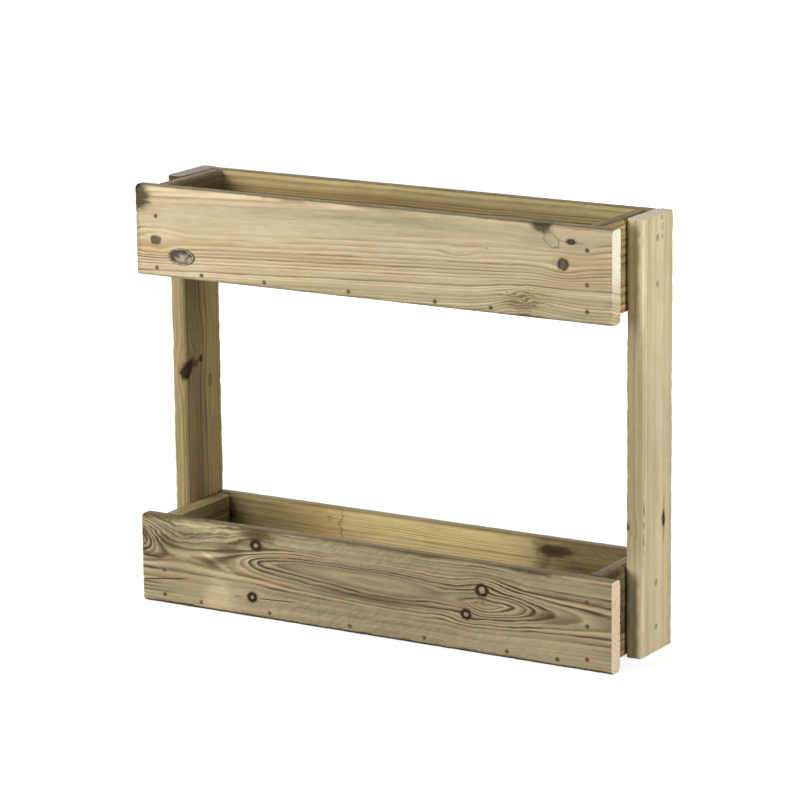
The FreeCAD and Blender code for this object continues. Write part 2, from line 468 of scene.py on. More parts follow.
class Timber:
    """The material of one plank, worked out along, across and through it in millimetres."""

    def __init__(self, plank, tones):
        self.plank, self.figure = plank, plank.figure
        self.colours = bpy.context.scene.planter_colours
        self.early = getattr(self.colours, tones + "_early")
        self.late = getattr(self.colours, tones + "_late")
        self.shader = Shader.for_material(plank.name + "_timber")
        axes = self.shader.split(self.shader.millimetres(plank.low))
        self.along, self.across, self.depth = (axes[number] for number in plank.axes)
        self.point = self.shader.point(self.along, self.across, self.depth)
        self.quick, self.ragged, self.edge, self.mottle, self.stains = (
            self.cloud(name) for name in ("quick", "ragged", "edge", "mottle", "stains"))
        self.upward = self.shader.attribute("upward")
        self.ragged_along = self.along + self.ragged * STRAY_ALONG
        self.ragged_across = self.across - self.ragged * STRAY_ACROSS

    def cloud(self, name, point=None):
        sizes, seed, *detail = CLOUDS[name]
        return self.shader.cloud(point or self.point, sizes, self.figure.seed + seed, *detail)

    def blotch(self, patches):
        """One mask for several patches with ragged borders: the sum of exp(-d^4) times each
        one's strength, where d is the distance from its middle in its own half sizes."""
        along, across = self.ragged_along, self.ragged_across
        mask = 0.0
        for patch in (Patch(*values) for values in patches):
            far = ((along - patch.along) * (1 / patch.length)) ** 2.0
            high = across - patch.across
            if patch.lean:
                high = high + (along - patch.along) * patch.lean
            high = (high * (1 / patch.height)) ** 2.0
            spot = (-((far + high) ** 2.0)).exp() * patch.strength
            if self.figure.fade:
                spot = spot * self.depth.smooth(0.0, self.figure.fade, 1.0, 0.0)
            mask = spot + mask
        return mask

    def bend_grain(self):
        """The level across the plank that each point's grain comes from: bent by slow and quick
        noise and by curls, and pushed aside by each knot. Then the masks of the knots' bark
        rims and of their hearts."""
        figure, along, across = self.figure, self.along, self.across
        bent = (across - along * figure.rise + self.cloud("slow") * figure.wander
                + self.quick * figure.flutter)
        if figure.curls:
            long, high = figure.curl_length, figure.curl_length * CURL_HEIGHT
            curl = self.shader.cloud(self.point, (long, high, high), figure.seed + CURL_SEED, 2.0)
            bent = bent + curl * self.blotch(figure.curls) * long
        rims, hearts = [], []
        for knot in figure.knots:
            beside = (along - knot.along) * (1 / (knot.size * knot.stretch))
            above = (across - knot.across + (along - knot.along) * knot.lean) * (1 / knot.size)
            away = beside ** 2.0 + above ** 2.0
            if knot.depth is not None:
                away = away + ((self.depth - knot.depth) * (1 / knot.size)) ** 2.0
            wide = (beside * beside * (1 / (knot.reach * 1.7) ** 2)
                    + above * above * (1 / knot.reach ** 2))
            bent = bent - (across - knot.across) * (-wide).exp() * knot.bend
            distance = away.root() + self.edge * KNOT_EDGE
            off_rim = (distance - KNOT_RIM) * (1 / knot.rim_width)
            rims.append((-(off_rim ** 2.0)).exp() * knot.rim)
            hearts.append(distance.smooth(0.7, 1.1, 1.0, 0.0) * knot.heart
                          * ((distance * KNOT_RIPPLES).sine() * 0.1 + 0.9))
        return bent, highest(rims), highest(hearts)

    def ring_lines(self, bent):
        """Rings: the distance from the pith line, shifted by each swell, over the ring spacing.
        Its fraction runs through the ring's profile, from pale earlywood to the dark latewood
        line. Then the glint beside a line, and how bright each ring is as a whole."""
        figure, shader = self.figure, self.shader
        field = ((bent - figure.pith_across) ** 2.0
                 + (self.depth - figure.pith_depth) ** 2.0).root()
        for swell in figure.swells:
            away = self.along - swell.along
            beside = away.least(0.0) * (1 / swell.left) + away.most(0.0) * (1 / swell.right)
            above = (bent - swell.across + swell.along * figure.rise) * (1 / swell.height)
            above = abs(above) if swell.crease else above * above
            field = field + (-(beside * beside + above)).exp() * swell.rings
        sockets = {"W": field * (1 / (figure.spacing * 3.4)) + figure.seed, "Scale": 1.0,
                   "Detail": 1.0}
        uneven = shader.node("TexNoise", {"noise_dimensions": "1D"}, sockets) - 0.5
        phase = field * (1 / figure.spacing) + uneven * figure.uneven
        number, part = phase.floor(), phase.part()
        strength = (self.cloud("patchy") * 2.4 + 1.0).most(0.1) * figure.contrast
        if figure.bold:
            strength = strength * (self.blotch(figure.bold) + 1.0)
        if figure.plain:
            strength = strength * (1.0 - self.blotch(figure.plain))
        line = shader.ramp(part, RING_PROFILE) * (shader.dice(number) * 0.85 + 0.3) * strength
        glint = shader.ramp(part, GLINT_PROFILE) * strength * figure.glint
        return line.least(1.0), glint, shader.dice(number + SEASON_SEED) - 0.5

    def fibres(self, bent):
        """Noise drawn out along the bent grain as fibres, strands, bands and pale flecks, and
        fur. A furry patch has slanting tufts in place of fibres."""
        follow = self.shader.point(self.along, bent, self.depth)
        fibre, strand, band = (self.cloud(name, follow) for name in ("fibre", "strand", "band"))
        fleck = self.cloud("fleck", follow).smooth(0.17, 0.3)
        fur = self.mottle * 0.16
        if self.figure.furry:
            slant = self.shader.point(
                self.along * TUFT_COSINE + self.across * TUFT_SINE + self.ragged * 26.0,
                self.across * TUFT_COSINE - self.along * TUFT_SINE + self.ragged * 9.0,
                self.depth)
            furry = self.blotch(self.figure.furry).least(1.0)
            fur = fur + self.cloud("hatch", slant) * furry * 0.75
            strand = strand * (1.0 - furry * 0.85)
            fibre = fibre * (1.0 - furry)
        return fibre, strand, band, fleck, fur

    def tinted(self, line, strand):
        """The rings' two tones, then resin, the preservative's green and a pink blush."""
        figure, shader, colours = self.figure, self.shader, self.colours
        shade = shader.mix(line, self.early, self.late)
        if figure.amber:
            soaked = self.blotch(figure.amber) * (strand * 1.6 + 0.8)
            shade = shader.mix(soaked.most(0.0).least(1.0), shade, colours.resin)
        green = self.cloud("tint").smooth(-0.12, 0.3, 0.0, figure.green)
        if figure.olive:
            green = (green + self.blotch(figure.olive)).least(1.0)
        shade = shader.mix(green, shade, colours.green_tint)
        blushed = self.cloud("blush").smooth(-0.02, 0.3, 0.0, figure.blush)
        return shader.mix(blushed, shade, colours.pink_tint)

    def weathered(self, shade, strand, worn):
        """Damp stains and painted shade, then the faces that look up, then painted shade on the
        faces that look down.
        """
        figure, shader, colours = self.figure, self.shader, self.colours
        stains, mottle = self.stains, self.mottle
        weather_and_shade = stains.smooth(0.02, 0.36, 0.0, figure.stain)
        # the dark patches: damp stains, and painted shade in corners and on shaded faces
        if figure.dark:
            uneven = stains * 1.2 + mottle * 0.6 + strand * 0.6 + 1.0
            weather_and_shade = weather_and_shade.most(self.blotch(figure.dark) * uneven)
        if figure.arris > 0:
            weather_and_shade = weather_and_shade.most(worn * (stains * 3.0 + mottle * 1.6 + 0.8) * figure.arris)
        shade = shader.mix(weather_and_shade.least(1.0), shade, getattr(colours, figure.stain_and_shade_tone))
        topmost = self.upward.smooth(0.8, 0.99) * (stains + mottle * 0.6 + 0.85) * figure.top
        shade = shader.mix(topmost.least(1.0), shade, colours.aged_top)
        # painted shade on the faces that look down
        lowest = (self.upward + mottle * 0.5).smooth(-0.75, 0.0, figure.under, 0.0)
        return shader.mix(lowest, shade, colours.underside_shade)

    def cracks(self):
        """The mask of the drying splits: near each one's line, between its ends."""
        slits = []
        for split in self.figure.splits:
            fall = (self.along - split.start) * (split.drop / (split.end - split.start))
            beside = abs(self.across + fall - split.across + self.quick * 2.4 + self.edge * 0.7)
            taken = (self.along.smooth(split.start - 1.0, split.start + 6.0)
                     * self.along.smooth(split.end - 25.0, split.end, 1.0, 0.0))
            slits.append(beside.smooth(split.width * 0.35, split.width, 1.0, 0.0) * taken)
        return highest(slits)

    def cut_end(self, line, shade):
        """The colour and the height of a cross-cut end, with saw marks and pores."""
        figure, shader = self.figure, self.shader
        saw, pores = self.cloud("saw"), self.cloud("pores")
        end = shader.mix(line * figure.cut_lines, getattr(self.colours, figure.cut_tone),
                         self.late)
        end = shader.brighten(end, 1.0 + saw * 0.16 + pores * 0.22 + self.mottle * 0.1)
        aged = self.upward.smooth(0.7, 0.98, 0.0, figure.top)
        end = shader.mix(aged, end, self.colours.aged_top)
        if figure.aged_end:
            end = shader.mix(self.blotch(figure.aged_end), end, shade)
        return end, saw * 0.25 + pores * 0.2

    def material(self):
        """Colour and height of the faces, then knots, splits, rust round heads and cut ends."""
        figure, shader, colours = self.figure, self.shader, self.colours
        bent, rim, heart = self.bend_grain()
        line, glint, season = self.ring_lines(bent)
        fibre, strand, band, fleck, fur = self.fibres(bent)
        worn = shader.attribute("arris")
        shade = self.weathered(self.tinted(line, strand), strand, worn)
        brightness = (1.0 + fibre * figure.streak * 0.6 + strand * figure.streak
                      + band * figure.band + season * figure.band * 0.8 + glint - fleck * 0.16
                      + fur * 0.9)
        if figure.arris < 0:
            brightness = brightness - worn * figure.arris
        # pale and darker patches; on some planks they are painted shade and painted highlights
        if figure.light:
            off_top = self.upward.smooth(0.3, 0.9, 1.0, 0.0)
            paler = self.blotch(figure.light) * (strand * 0.8 + 1.0) * off_top
            brightness = brightness + paler
        shade = shader.brighten(shade, brightness)
        if heart:
            knot_tone = getattr(colours, figure.knot_tone)
            shade = shader.mix(heart, shade, shader.brighten(knot_tone, 1.0 + fur + strand))
            shade = shader.mix(rim.least(1.0), shade, colours.knot_rim)
        height = fibre * 0.2 + strand * 0.2 + line * 0.05 + fur * 0.3 - fleck * 0.1
        gap = self.cracks()
        if gap:
            # the split's inside is darkened: painted shade in the recess
            shade = shader.mix(gap * 0.9, shade, colours.crack)
            height = height - gap * 0.8
        rusty = shader.attribute("nail_mark") * self.plank.rusting
        shade = shader.mix(rusty, shade, colours.rust)
        cut = shader.attribute("cut_end")
        end_shade, end_height = self.cut_end(line, shade)
        shade = shader.mix(cut, shade, end_shade)
        height = height + cut * end_height
        roughness = (fibre + self.mottle * 0.5).smooth(-0.3, 0.3, 0.62, 0.8)
        return shader.finish(shade, roughness, height, TIMBER_RELIEF,
                             **{"Specular IOR Level": TIMBER_SPECULAR})


# Surfaces

RULER_POINTS = 6001
SAME_PLANE = 0.05 * MM        # how far a head's corners may lie from its plane
WIDEST_HEAD = 10 * MM
NEVER_ZERO = 1e-6             # the least that a distance is divided by
END_LINES = np.array((0.8, 1.9, 3.2))    # mm of the extra grid lines from an eased end


def ripple(values, wavelength, rng, terms=6):
    """A smooth random line: the mean of sines at random phases whose wavelengths run from the
    given one down to a fifth of it. From about -1 to 1."""
    total = np.zeros_like(values)
    for step in np.linspace(1.0, 5.0, terms):
        total += np.sin(values * (math.tau * step / wavelength) + rng.uniform(0, math.tau))
    return total / math.sqrt(terms)


def graded(start, end, step, fine, places, reach):
    """Grid lines from start to end, step apart, closing up to fine within reach of each place:
    the lines' density is summed along a ruler and read back at equal shares of the sum."""
    ruler = np.linspace(start, end, RULER_POINTS)
    density = np.full_like(ruler, 1 / step)
    for place in places:
        near = np.clip(2.0 - np.abs(ruler - place) / reach, 0.0, 1.0)
        density = np.maximum(density, near / fine)
    areas = (density[1:] + density[:-1]) / 2 * np.diff(ruler)
    summed = np.concatenate(([0.0], np.cumsum(areas)))
    count = int(math.ceil(summed[-1]))
    return np.interp(np.linspace(0.0, summed[-1], count + 1), summed, ruler)


def plank_profile(flat_lines, arc_steps=6, edge_steps=2):
    """A plank's outline as shares of its flat parts and its arris radius. It runs from the
    middle of the bottom edge up the first face to the middle of the top edge, and back down
    the second face, whose points mirror the first's. Returns flat across, flat through, arc
    across, arc through."""
    turn = np.linspace(0.0, math.pi / 2, arc_steps + 1)
    edge = np.linspace(0.0, -1.0, edge_steps + 1)
    inner = flat_lines[1:-1]
    on_edge, on_arc, on_flat = (np.ones(n) for n in (edge_steps, arc_steps + 1, len(inner)))
    halves = (
        (1, (-on_edge, -on_arc, inner, on_arc, on_edge)),
        (-1, (edge[:-1], -on_arc, -on_flat, -on_arc, edge[::-1][1:])),
        (1, (-on_edge, -np.cos(turn), 0 * inner, np.sin(turn), on_edge)),
        (-1, (0 * on_edge, -np.sin(turn), -on_flat, -np.cos(turn), 0 * on_edge)),
    )
    lines = ((sign, np.concatenate(parts)) for sign, parts in halves)
    return [np.concatenate((line, sign * line[-2:0:-1])) for sign, line in lines]


def tube_faces(rings, around):
    """Four-sided faces between each ring and the next, each ring closed on itself."""
    ring, side = np.meshgrid(np.arange(rings - 1), np.arange(around), indexing="ij")
    following = (side + 1) % around
    return np.stack((ring * around + side, ring * around + following,
                     (ring + 1) * around + following, (ring + 1) * around + side),
                    axis=-1).reshape(-1, 4)


def closed_tube(rings, poles):
    """Points, quads and triangles of a tube of rings whose ends each close on a pole."""
    sides = rings.shape[1]
    count = rings.shape[0] * sides
    ring = np.arange(sides)
    following = (ring + 1) % sides
    caps = []
    for start, pole, order in ((0, count, 1), (count - sides, count + 1, -1)):
        fan = np.stack((np.full(sides, pole), start + following, start + ring), 1)
        caps.append(fan[:, ::order])
    return (np.concatenate((rings.reshape(-1, 3), poles)), tube_faces(len(rings), sides),
            np.concatenate(caps))


def outwards(points, quads, triangles):
    """The faces, turned over if the volume they close comes out negative."""
    volume = 0.0
    for a, b, c in ((0, 1, 2), (0, 2, 3)):
        p, q, r = (points[quads[:, corner]] for corner in (a, b, c))
        volume += np.einsum("ij,ij->i", p, np.cross(q, r)).sum()
    if volume < 0:
        return quads[:, ::-1], triangles[:, ::-1]
    return quads, triangles


def new_piece(name, points, quads, triangles, material, slot, nodes, attributes=None):
    """A mesh object in the shared frame that rides on the body and stands for CAD nodes."""
    quads, triangles = outwards(points, quads, triangles)
    mesh = bpy.data.meshes.new(name)
    mesh.from_pydata(points, [], quads.tolist() + triangles.tolist())
    for label, values in (attributes or {}).items():
        layer = mesh.attributes.new(label, "FLOAT", "POINT")
        layer.data.foreach_set("value", values.astype(np.float32).ravel())
    mesh.polygons.foreach_set("use_smooth", np.ones(len(mesh.polygons), bool))
    mesh.materials.append(material)
    if mesh.validate():
        raise RuntimeError(name + " has a faulty mesh")
    piece = bpy.data.objects.new(name, mesh)
    bpy.context.scene.collection.objects.link(piece)
    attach(piece, BODY)
    if nodes:
        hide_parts(*nodes)


def head_places(node, axis, side):
    """The middles of a fastener group's heads, in metres: the corners that lie on the group's
    outermost plane, gathered into clusters no wider than a head."""
    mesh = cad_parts[node].data
    corners = np.empty(len(mesh.vertices) * 3, np.float32)
    mesh.vertices.foreach_get("co", corners)
    corners = corners.reshape(-1, 3).astype(float)
    plane = (corners[:, axis] * side).max() * side
    rim = corners[np.abs(corners[:, axis] - plane) < SAME_PLANE]
    apart = np.linalg.norm(rim[:, None] - rim[None], axis=2)
    cluster = (apart < WIDEST_HEAD).argmax(axis=1)
    return [(rim[cluster == c].min(0) + rim[cluster == c].max(0)) / 2
            for c in np.unique(cluster)]


@dataclass
class Plank:
    """One plank: the CAD node it stands for, its axes and its figure."""

    name: str
    node: str
    axes: tuple               # grain, width and thickness, as X, Y or Z
    figure: Figure
    heads: tuple = ()         # fastener nodes whose heads its face shows
    face: int = NEAR          # which face shows them
    head_size: float = 5.8
    rusting: float = 0.55     # how far rust has run into the timber round a head
    ragged: float = 1.0       # how much deeper its arrises are worn

    # In mm, and the dish as a share of the head's size squared
    DISH, RUST_WIDTH = 0.009, 1.4
    ARRIS_WAVE, NICK_WAVE, HOLLOW_WAVE = 110.0, 130.0, 900.0
    ARRIS_SHIFT, FACE_SHIFT, HOLLOW_SHIFT = 37.0, 91.0, 53.0    # between one wave and the next
    TEAR_WAVE, TEAR_REACH = 46.0, 1.6
    SAW_WAVE, SAW_DEPTH = 17.0, 0.18
    SPLIT_WIDTH, SPLIT_DEPTH, SPLIT_FADE = 0.8, 1.2, 30.0
    SLOT = 0.6                # half the width at which an end is sewn up
    FINE_MARGIN = 2.0         # how far past a head's rim the grid stays fine
    TOUCH = 1e-3              # closer than this, a point lies on a pocket's rim
    END_RINGS, CLOSING_RINGS = 4, 5    # over an end's eased edge, and inwards from it
    SQUARE = 0.99             # cosine from which a point counts as on the flat face

    def __post_init__(self):
        self.low, self.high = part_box(self.node)

    def build(self, material, slot):
        """The plank's surface. A rounded outline is carried along the grain; at each end it
        turns over a small arc and closes inwards to a slot, which is sewn up. Every point then
        moves inwards by the sum of wear on the arrises, hollows along the faces, tears at the
        ends, splits and the pockets round the heads."""
        shape = bpy.context.scene.planter_shape
        rng = np.random.default_rng(int(self.figure.seed * 10))
        grain, wide, thin = self.axes
        low = np.array(self.low) / MM
        size = (np.array(self.high) - np.array(self.low)) / MM
        long, half_wide, half_thin = size[grain], size[wide] / 2, size[thin] / 2
        radius, ease, coarse, fine = (value / MM for value in (
            shape.arris_radius, shape.end_ease, shape.coarse_step, shape.fine_step))
        heads = self.find_heads(low, half_wide)
        reach = self.head_size * 0.5 + self.FINE_MARGIN
        levels = [h[1] for h in heads] + [s.across - half_wide for s in self.figure.splits]
        flat = half_wide - radius
        flat_lines = graded(-flat, flat, coarse, fine, levels, reach) / flat
        profile = plank_profile(flat_lines)
        along = graded(ease, long - ease, coarse, fine, [h[0] for h in heads], reach)
        along = np.sort(np.concatenate((along, ease + END_LINES, long - ease - END_LINES)))
        points, normals, marks = self.rings(profile, along, ease, long, half_wide, half_thin,
                                            radius)
        points, pocket, bruise = self.pockets(points, normals, heads, shape)
        inwards = pocket + self.wear(points, normals, marks, long, half_wide, rng, shape)
        points = points - normals * inwards[..., None]

        rings, around = points.shape[:2]
        quads = tube_faces(rings, around)
        first = np.arange(1, around // 2 - 1)
        sewn, tips = [], []
        for start, order in ((0, 1), ((rings - 1) * around, -1)):
            mirror = around - first
            sewn.append(start + np.stack((first, mirror, mirror - 1, first + 1), 1)[:, ::order])
            half = around // 2
            tips.append(start + np.array(((0, around - 1, 1), (half - 1, half + 1, half)))
                        [:, ::order])
        quads = np.concatenate((quads, *sewn))
        triangles = np.concatenate(tips)
        placed = np.empty((rings * around, 3))
        placed[:, grain] = low[grain] + points[..., 0].ravel()
        placed[:, wide] = low[wide] + half_wide + points[..., 1].ravel()
        placed[:, thin] = low[thin] + half_thin + points[..., 2].ravel()
        attributes = {"arris": marks["arris"], "cut_end": marks["cut"], "nail_mark": bruise,
                      "upward": normals[..., self.axes.index(Z)]}
        new_piece(self.name, placed * MM, quads, triangles, material, slot, [self.node],
                  attributes)

    def find_heads(self, low, half_wide):
        """Heads on the plank's face as (along, across from the middle), in millimetres."""
        grain, wide, thin = self.axes
        found = []
        for node in self.heads:
            for place in head_places(node, thin, self.face):
                spot = place / MM - low
                found.append((spot[grain], spot[wide] - half_wide))
        return found

    def rings(self, profile, along, ease, long, half_wide, half_thin, radius):
        """The plain outline at each ring. An end's rings run over an arc of radius ease, then
        inwards; an inset outline keeps its proportions of flat and arc."""
        flat_across, flat_through, arc_across, arc_through = profile
        turn = np.linspace(0.0, math.pi / 2, self.END_RINGS + 1)[1:]
        arc_inset, arc_set = ease * (1 - np.cos(turn)), ease * (1 - np.sin(turn))
        closing = np.linspace(ease, half_thin - self.SLOT, self.CLOSING_RINGS + 1)[1:]
        end_inset = np.concatenate((arc_inset, closing))
        end_set = np.concatenate((arc_set, 0 * closing))
        end_turn = np.concatenate((turn, np.full(len(closing), math.pi / 2)))
        inset = np.concatenate((end_inset[::-1], 0 * along, end_inset))
        where = np.concatenate((end_set[::-1], along, long - end_set))
        tilt = np.concatenate((-end_turn[::-1], 0 * along, end_turn))
        keep = 1 - inset / half_thin
        arc = radius * keep
        points = np.empty((len(where), len(flat_across), 3))
        points[..., 0] = where[:, None]
        points[..., 1] = (np.outer(half_wide - inset - arc, flat_across)
                          + np.outer(arc, arc_across))
        points[..., 2] = (np.outer(half_thin * keep - arc, flat_through)
                          + np.outer(arc, arc_through))
        normals = np.empty_like(points)
        normals[..., 0] = np.sin(tilt)[:, None]
        normals[..., 1] = np.outer(np.cos(tilt), arc_across)
        normals[..., 2] = np.outer(np.cos(tilt), arc_through)
        on_arc = np.clip(2 * np.abs(arc_across * arc_through), 0, 1)
        marks = {"arris": np.outer(np.cos(tilt), on_arc),
                 "cut": np.repeat(np.sin(np.abs(tilt))[:, None] ** 2, len(flat_across), 1)}
        return points, normals, marks

    def pockets(self, points, normals, heads, shape):
        """Pockets round the heads. Points near a pocket's rim are drawn onto its circle; inside
        it the timber lies pocket_depth deep, and outside it is dished over pocket_rim."""
        points = points.copy()
        depth, bruise = np.zeros(points.shape[:2]), np.zeros(points.shape[:2])
        on_face = normals[..., 2] * self.face > self.SQUARE
        circle = self.head_size / 2 + shape.head_gap / MM
        dished = self.DISH * self.head_size ** 2
        for place, level in heads:
            beside, above = points[..., 0] - place, points[..., 1] - level
            away = np.maximum(np.hypot(beside, above), NEVER_ZERO)
            pull = on_face & (np.abs(away - circle) < shape.fine_step / MM / 2)
            ratio = np.where(pull, circle / away, 1.0)
            points[..., 0] = place + beside * ratio
            points[..., 1] = level + above * ratio
            away = np.where(pull, circle, away)
            inside = on_face & (away < circle - self.TOUCH)
            dish = np.clip(1 - (away - circle) / (shape.pocket_rim / MM), 0, 1) ** 2 * dished
            depth = np.maximum(depth, np.where(on_face, dish, 0.0))
            depth = np.where(inside, shape.pocket_depth / MM, depth)
            mark = np.clip(1 - (away - circle) / self.RUST_WIDTH, 0, 1)
            bruise = np.maximum(bruise, np.where(on_face, mark, 0.0))
        return points, depth, bruise

    def wear(self, points, normals, marks, long, half_wide, rng, shape):
        """How far each point lies under the plain outline, in millimetres: waves along each
        arris, a slow hollow along each face, torn fibre at the ends, and the splits."""
        along, across, through = points[..., 0], points[..., 1], points[..., 2]
        corner = np.sign(across) * self.ARRIS_SHIFT + np.sign(through) * self.FACE_SHIFT
        waves = 0.5 + 0.5 * np.clip(ripple(along + corner, self.ARRIS_WAVE, rng), -1, 1)
        nicks = np.clip(ripple(along + corner, self.NICK_WAVE, rng, 4), 0, 1) ** 2
        worn = waves ** 2 + nicks * (self.ragged - 1)
        inwards = marks["arris"] * worn * (shape.arris_wear / MM)
        slow = ripple(along + np.sign(through) * self.HOLLOW_SHIFT, self.HOLLOW_WAVE, rng, 3)
        hollow = 0.5 + 0.5 * np.clip(slow, -1, 1)
        inwards += np.abs(normals[..., 2]) * hollow * (shape.bow / MM)
        to_end = np.minimum(along, long - along)
        tear = np.clip(ripple(across + through * 0.7, self.TEAR_WAVE, rng, 8), 0, 1)
        inwards += np.exp(-to_end / self.TEAR_REACH) * tear ** 2 * (shape.end_tear / MM) * 0.5
        rough = ripple(across + through * 1.3, self.SAW_WAVE, rng, 5) * 0.5 + 0.5
        inwards += marks["cut"] * np.clip(rough, 0, 1) * self.SAW_DEPTH
        for split in self.figure.splits:
            fall = (along - split.start) * (split.drop / (split.end - split.start))
            beside = np.abs(across + half_wide + fall - split.across)
            taken = (along > split.start - 1) & (along < split.end) & (normals[..., 2] < -0.5)
            fade = np.clip((split.end - along) / self.SPLIT_FADE, 0, 1)
            slit = np.exp(-(beside / self.SPLIT_WIDTH) ** 2) * fade * self.SPLIT_DEPTH
            inwards += np.where(taken, slit, 0.0)
        return inwards


def revolved(places, axis, side, radii, depths, twist):
    """Like surfaces of revolution: at each place the radii, listed by depth below the head's
    plane, are carried round the axis; the first and last rings close on a point. depths and
    twist are given as (rings, sides); twist is the share by which a radius grows."""
    sides = depths.shape[1]
    angle = np.linspace(0.0, math.tau, sides, endpoint=False)
    one, other = [a for a in (X, Y, Z) if a != axis]
    rim = radii[:, None] * (1 + twist)
    rings = np.zeros((len(radii), sides, 3))
    rings[..., one] = rim * np.cos(angle)
    rings[..., other] = rim * np.sin(angle)
    rings[..., axis] = -side * depths
    poles = np.zeros((2, 3))
    poles[:, axis] = -side * depths[[0, -1]].mean(1)
    body, quads, triangles = closed_tube(rings * MM, poles * MM)
    steps = (np.arange(len(places)) * len(body))[:, None, None]
    return ((body + np.array(places)[:, None]).reshape(-1, 3), (quads + steps).reshape(-1, 4),
            (triangles + steps).reshape(-1, 3))


# Fasteners, in mm
NAIL_SIDES, SCREW_SIDES, PIN_SIDES = 20, 28, 16
NAIL_SHANK, SCREW_SHANK = 1.4, 2.0    # radii
POINT_LENGTH = 4.0            # a nail's
POINT_SQUARE = 0.1            # how far its corners stand out, as a share of its radius
CHECK_TURN = 2.4              # radians of a nail head's checks for each mm
CHECK_DEPTH = 0.16
THREAD_START = 3.4            # under the head's face
THREAD_END = 6.0              # above the screw's tip
THREAD_RINGS, TIP_RINGS = 66, 9
THREAD_PITCH = 2.6
THREAD_HEIGHT = 0.16          # as a share of the radius
TIP_START = 5.4               # above the screw's tip
RECESS_ARM = 0.62             # half an arm's width
RECESS_REACH = 2.7
RECESS_MIDDLE = 1.0           # radius of the cross recess's round middle


def head_grid(radii, levels, sides):
    """Angles round a head, a flat grid of depths, and each point's place across and up."""
    angle = np.linspace(0.0, math.tau, sides, endpoint=False)
    depths = np.repeat(levels[:, None], sides, 1)
    return angle, depths, np.outer(radii, np.cos(angle)), np.outer(radii, np.sin(angle))


def nail_surface(places, axis, side, reach):
    """Wire nails: a slightly domed head with a checkered top, a short neck, a round shank and
    a four-sided point. reach is the nail's length in millimetres."""
    # radius and depth of each ring, in mm
    rows = ((0.45, 0.00), (1.1, 0.02), (1.8, 0.05), (2.4, 0.1), (2.78, 0.22), (2.9, 0.45),
            (2.9, 0.85), (2.7, 1.15), (1.6, 1.35), (NAIL_SHANK, 1.9),
            (NAIL_SHANK, reach * 0.5), (NAIL_SHANK, reach - POINT_LENGTH),
            (0.75, reach - 1.7), (0.12, reach))
    radii, levels = np.array(rows).T
    angle, depths, across, up = head_grid(radii, levels, NAIL_SIDES)
    on_top = (radii < 2.6) & (levels < 0.3)
    check = np.abs(np.sin(across * CHECK_TURN)) * np.abs(np.sin(up * CHECK_TURN))
    depths += np.where(on_top[:, None], CHECK_DEPTH * (1 - check), 0.0)
    twist = np.zeros_like(depths)
    twist[levels > reach - POINT_LENGTH] = POINT_SQUARE * np.cos(4 * angle)
    return revolved(places, axis, side, radii, depths, twist)


def screw_surface(places, axis, side, reach):
    """Countersunk screws: a flat head sunk by a cross recess whose arms narrow outwards, a
    cone under it, and a shank whose radius follows a helical thread."""
    # radius and depth of each ring of the head, in mm
    head = ((0.35, 0.0), (0.8, 0.0), (1.25, 0.0), (1.7, 0.0), (2.15, 0.0), (2.6, 0.0),
            (3.2, 0.02), (3.8, 0.05), (4.25, 0.1), (4.45, 0.25), (4.45, 0.45), (2.25, 3.2))
    head_radii, head_levels = np.array(head).T
    thread = np.linspace(THREAD_START, reach - THREAD_END, THREAD_RINGS)
    tip = np.linspace(reach - TIP_START, reach, TIP_RINGS)
    radii = np.concatenate((head_radii, np.full_like(thread, SCREW_SHANK),
                            np.linspace(1.9, 0.2, TIP_RINGS)))
    levels = np.concatenate((head_levels, thread, tip))
    angle, depths, across, up = head_grid(radii, levels, SCREW_SIDES)
    arm = np.minimum(np.abs(across), np.abs(up)) < RECESS_ARM
    on_top = ((radii < RECESS_REACH) & (levels == 0))[:, None]
    recess = on_top & (arm | (radii < RECESS_MIDDLE)[:, None])
    fall = np.clip(1.35 - 0.36 * np.broadcast_to(radii[:, None], depths.shape), 0.2, 1.2)
    depths += np.where(recess, fall, 0.0)
    turns = (depths / THREAD_PITCH - angle / math.tau) % 1.0
    ridge = np.clip(1 - np.abs(turns - 0.5) * 5, 0, 1)
    twist = np.where((levels >= THREAD_START)[:, None], ridge * THREAD_HEIGHT, 0.0)
    return revolved(places, axis, side, radii, depths, twist)


def new_fasteners(name, node, axis, side, surface, material, slot):
    """A group of like nails or screws in place of its CAD node, as long as the node is deep."""
    low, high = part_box(node)
    reach = (high[axis] - low[axis]) / MM
    new_piece(name, *surface(head_places(node, axis, side), axis, side, reach), material, slot,
              [node])


PLATE_SIDES = 72
PIN_PLACE = 0.4               # a pin's distance from the middle, as a share of the width


